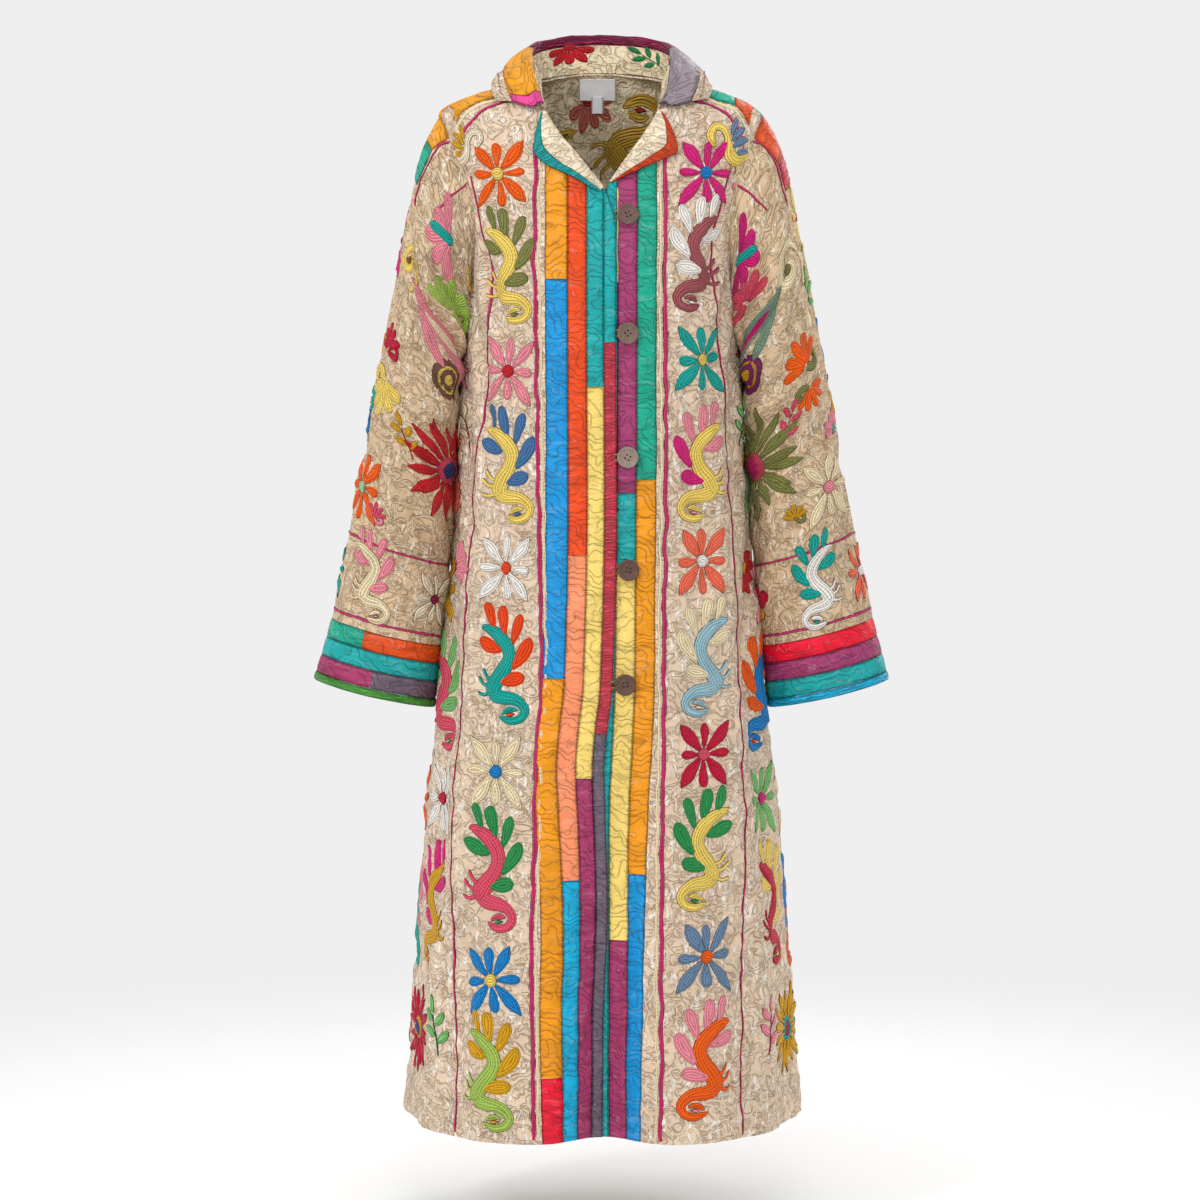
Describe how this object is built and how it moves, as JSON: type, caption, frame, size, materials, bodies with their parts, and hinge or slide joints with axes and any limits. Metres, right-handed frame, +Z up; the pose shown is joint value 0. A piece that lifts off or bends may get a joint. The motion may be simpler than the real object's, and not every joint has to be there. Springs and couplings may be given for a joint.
{
  "type": "embroidered coat",
  "caption": "Long open-hemmed patchwork coat with turned-back collar and lapels, button-loop front and embroidered panels, filled out as if worn",
  "frame": {"origin": "midway between the points where the shoulder line meets the neck, where a wearer carries the coat", "axes": "+Z up, the front faces -Y, +X to the wearer's left"},
  "size_m": [0.6688, 0.3961, 1.2586],
  "materials": {
    "ground_cloth": "quilted beige cotton with raised chain stitch",
    "cream_cloth": "quilted cream cotton",
    "marigold_cloth": "soft sheen, lightly wrinkled",
    "blue_cloth": "soft sheen, lightly wrinkled",
    "red_cloth": "soft sheen, lightly wrinkled",
    "orange_cloth": "soft sheen, lightly wrinkled",
    "salmon_cloth": "soft sheen, lightly wrinkled",
    "cyan_cloth": "soft sheen, lightly wrinkled",
    "teal_cloth": "soft sheen, lightly wrinkled",
    "yellow_cloth": "soft sheen, lightly wrinkled",
    "burgundy_cloth": "soft sheen, lightly wrinkled",
    "crimson_cloth": "soft sheen, lightly wrinkled",
    "grey_cloth": "soft sheen, lightly wrinkled",
    "green_cloth": "soft sheen, lightly wrinkled",
    "plum_cloth": "soft sheen, lightly wrinkled",
    "leaf_cloth": "ribbed binding",
    "mauve_cloth": "soft sheen, lightly wrinkled",
    "magenta_cloth": "soft sheen, lightly wrinkled",
    "mustard_cloth": "soft sheen, lightly wrinkled",
    "maroon_cloth": "ribbed binding",
    "button_material": "semi-matte brown",
    "loop_cord": "twisted cotton cord",
    "label_cloth": "smooth white woven tape"
  },
  "bodies": {
    "root": {"right_front": "ground_cloth", "left_front": "ground_cloth", "back": "ground_cloth", "right_sleeve": "ground_cloth", "left_sleeve": "ground_cloth", "collar_stand": "ground_cloth", "collar_fall": "ground_cloth", "right_lapel": "cream_cloth", "left_lapel": "cream_cloth", "right_border_outer_2": "marigold_cloth", "right_border_outer_4": "marigold_cloth", "left_border_outer_2": "marigold_cloth", "right_shoulder_strip": "marigold_cloth", "right_border_outer_3": "blue_cloth", "left_border_outer_1": "blue_cloth", "right_border_outer_1": "red_cloth", "left_cuff_top": "red_cloth", "right_border_middle_3": "orange_cloth", "right_cuff_top_2": "orange_cloth", "left_lapel_binding": "orange_cloth", "right_border_middle_2": "salmon_cloth", "right_border_middle_1": "cyan_cloth", "left_cuff_binding": "cyan_cloth", "right_lapel_binding": "cyan_cloth", "right_border_inner_3": "teal_cloth", "right_edge_binding_3": "teal_cloth", "left_edge_binding": "teal_cloth", "left_border_inner_3": "teal_cloth", "right_cuff_middle": "teal_cloth", "left_cuff_lower": "teal_cloth", "right_border_inner_2": "yellow_cloth", "left_border_inner_2": "yellow_cloth", "right_border_inner_1": "burgundy_cloth", "left_border_inner_1": "burgundy_cloth", "right_cuff_lower_1": "burgundy_cloth", "right_edge_binding_2": "crimson_cloth", "right_edge_binding_1": "grey_cloth", "right_cuff_lower_2": "grey_cloth", "left_border_outer_3": "green_cloth", "right_cuff_top_1": "green_cloth", "left_shoulder_strip": "green_cloth", "left_border_inner_4": "plum_cloth", "left_cuff_middle": "plum_cloth", "right_cuff_binding": "leaf_cloth", "collar_strip_grey": "mauve_cloth", "collar_strip_magenta": "magenta_cloth", "collar_strip_mustard": "mustard_cloth", "collar_strip_maroon": "maroon_cloth", "button_1": "button_material", "button_2": "button_material", "button_3": "button_material", "button_4": "button_material", "button_5": "button_material", "button_loop_1": "loop_cord", "button_loop_2": "loop_cord", "button_loop_3": "loop_cord", "button_loop_4": "loop_cord", "button_loop_5": "loop_cord", "neck_label": "label_cloth", "size_tab": "label_cloth"}
  },
  "joints": []
}
